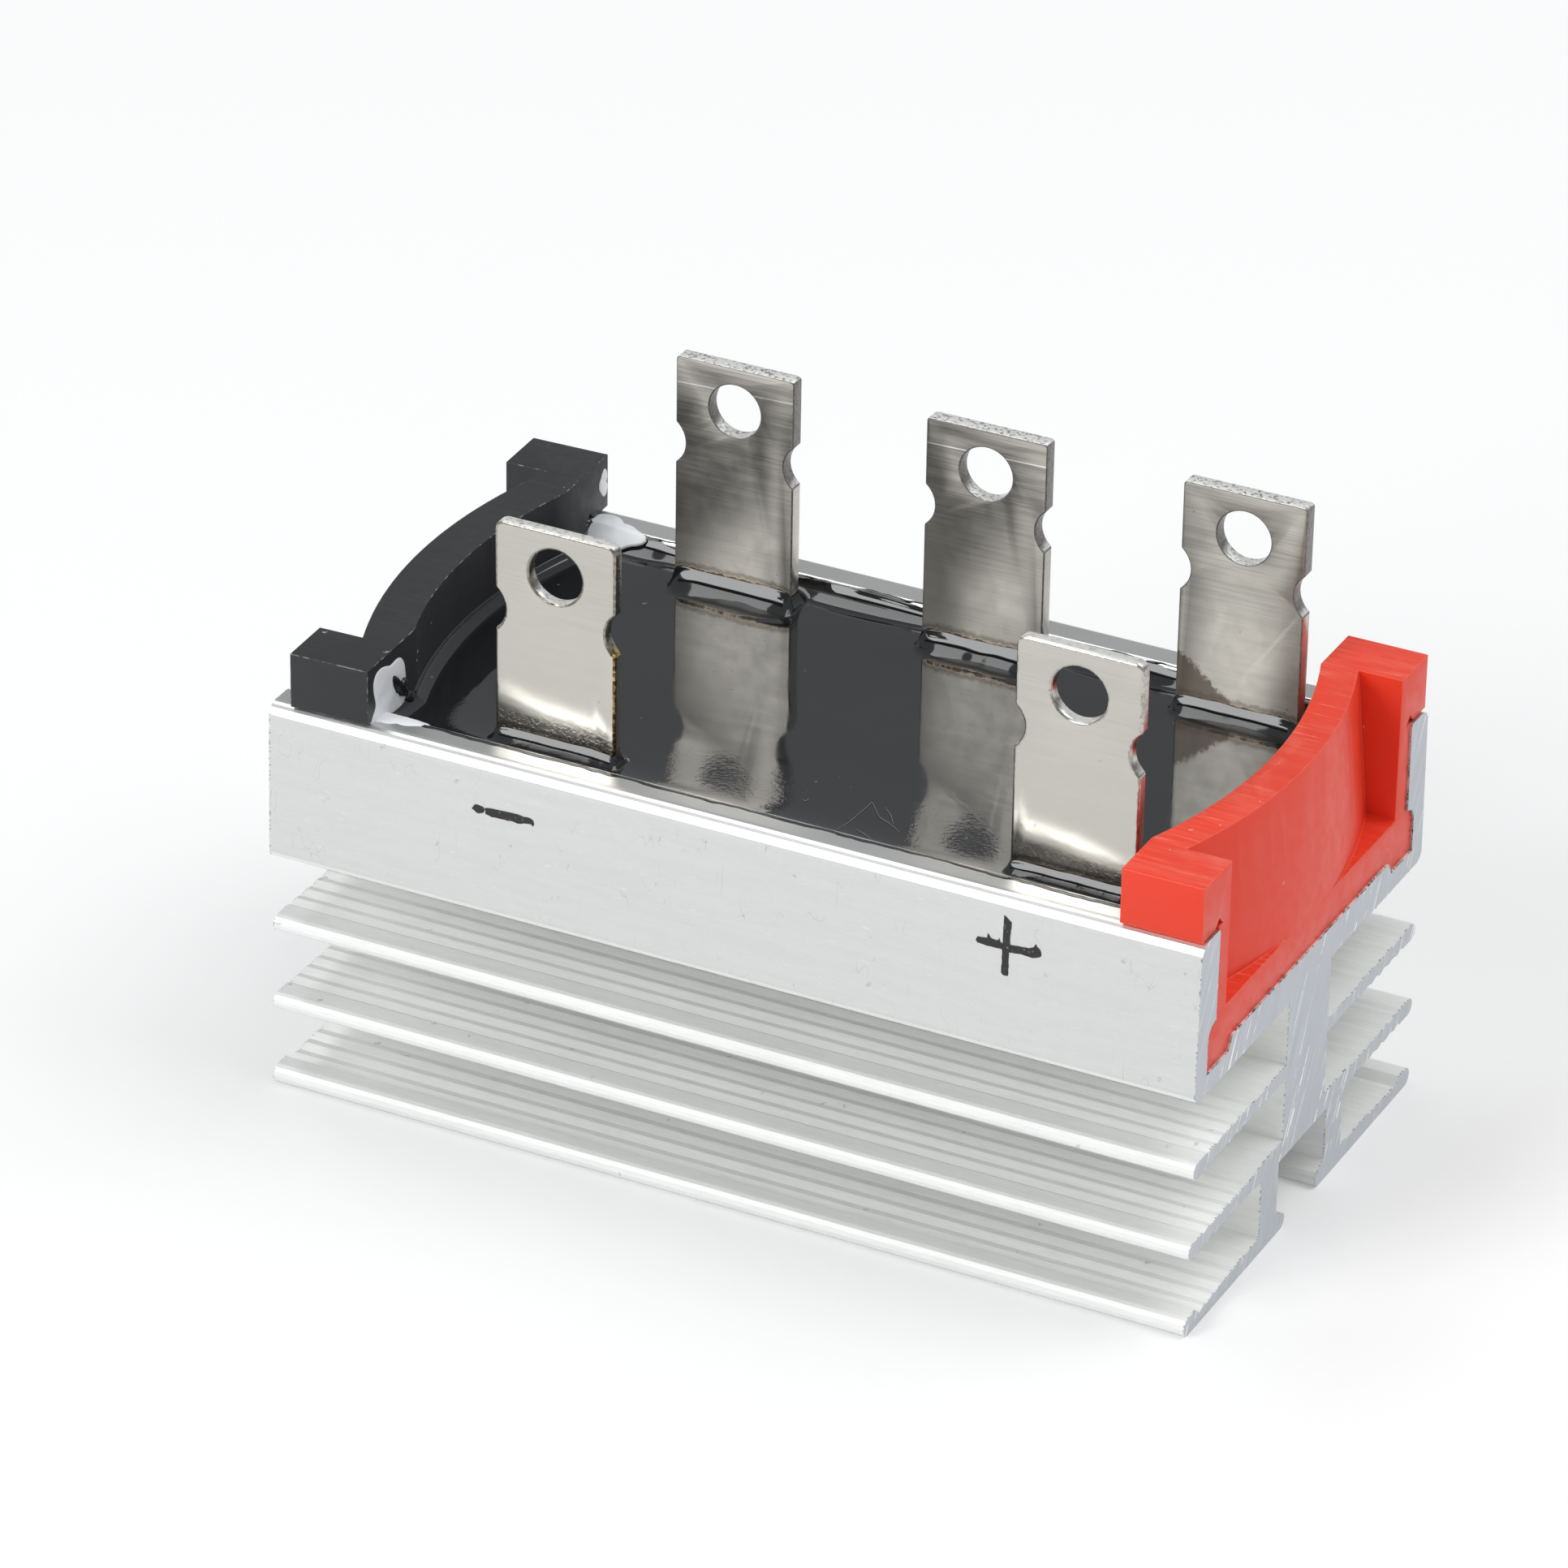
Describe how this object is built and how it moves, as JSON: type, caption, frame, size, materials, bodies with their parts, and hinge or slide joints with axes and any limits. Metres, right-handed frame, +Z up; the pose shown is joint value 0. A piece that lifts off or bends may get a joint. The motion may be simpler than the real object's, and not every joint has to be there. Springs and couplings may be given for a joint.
{
  "type": "bridge rectifier",
  "caption": "Three-phase bridge rectifier potted in the trough of a finned aluminium extrusion with a T-slot, moulded end caps and upright tab terminals with round holes.",
  "frame": {"origin": "middle of the length and of the width, on the flat underside of the lowest fins", "axes": "+X along the extrusion towards the positive end cap, +Y towards the row of AC tabs, +Z up, the way the tabs stand"},
  "size_m": [0.07, 0.0382, 0.0466],
  "materials": {
    "heat_sink": "satin, as extruded, with saw-cut ends",
    "end_cap_minus": "satin moulded black",
    "end_cap_plus": "satin moulded red",
    "potting": "glossy black casting resin",
    "sealant": "white silicone, smeared",
    "terminal": "bright nickel plate with fine scratches",
    "insulator": "fired, matte",
    "bus": "bare rolled copper",
    "die": "solder-coated silicon"
  },
  "bodies": {
    "root": {"heat_sink": "heat_sink", "end_cap_minus": "end_cap_minus", "end_cap_plus": "end_cap_plus", "potting": "potting", "sealant_front": "sealant", "sealant_back": "sealant", "terminal_minus": "terminal", "terminal_plus": "terminal", "terminal_ac_1": "terminal", "terminal_ac_2": "terminal", "terminal_ac_3": "terminal", "insulator": "insulator", "bus_minus": "bus", "bus_plus": "bus", "die_low_1": "die", "die_low_2": "die", "die_low_3": "die", "die_high_1": "die", "die_high_2": "die", "die_high_3": "die"}
  },
  "joints": []
}
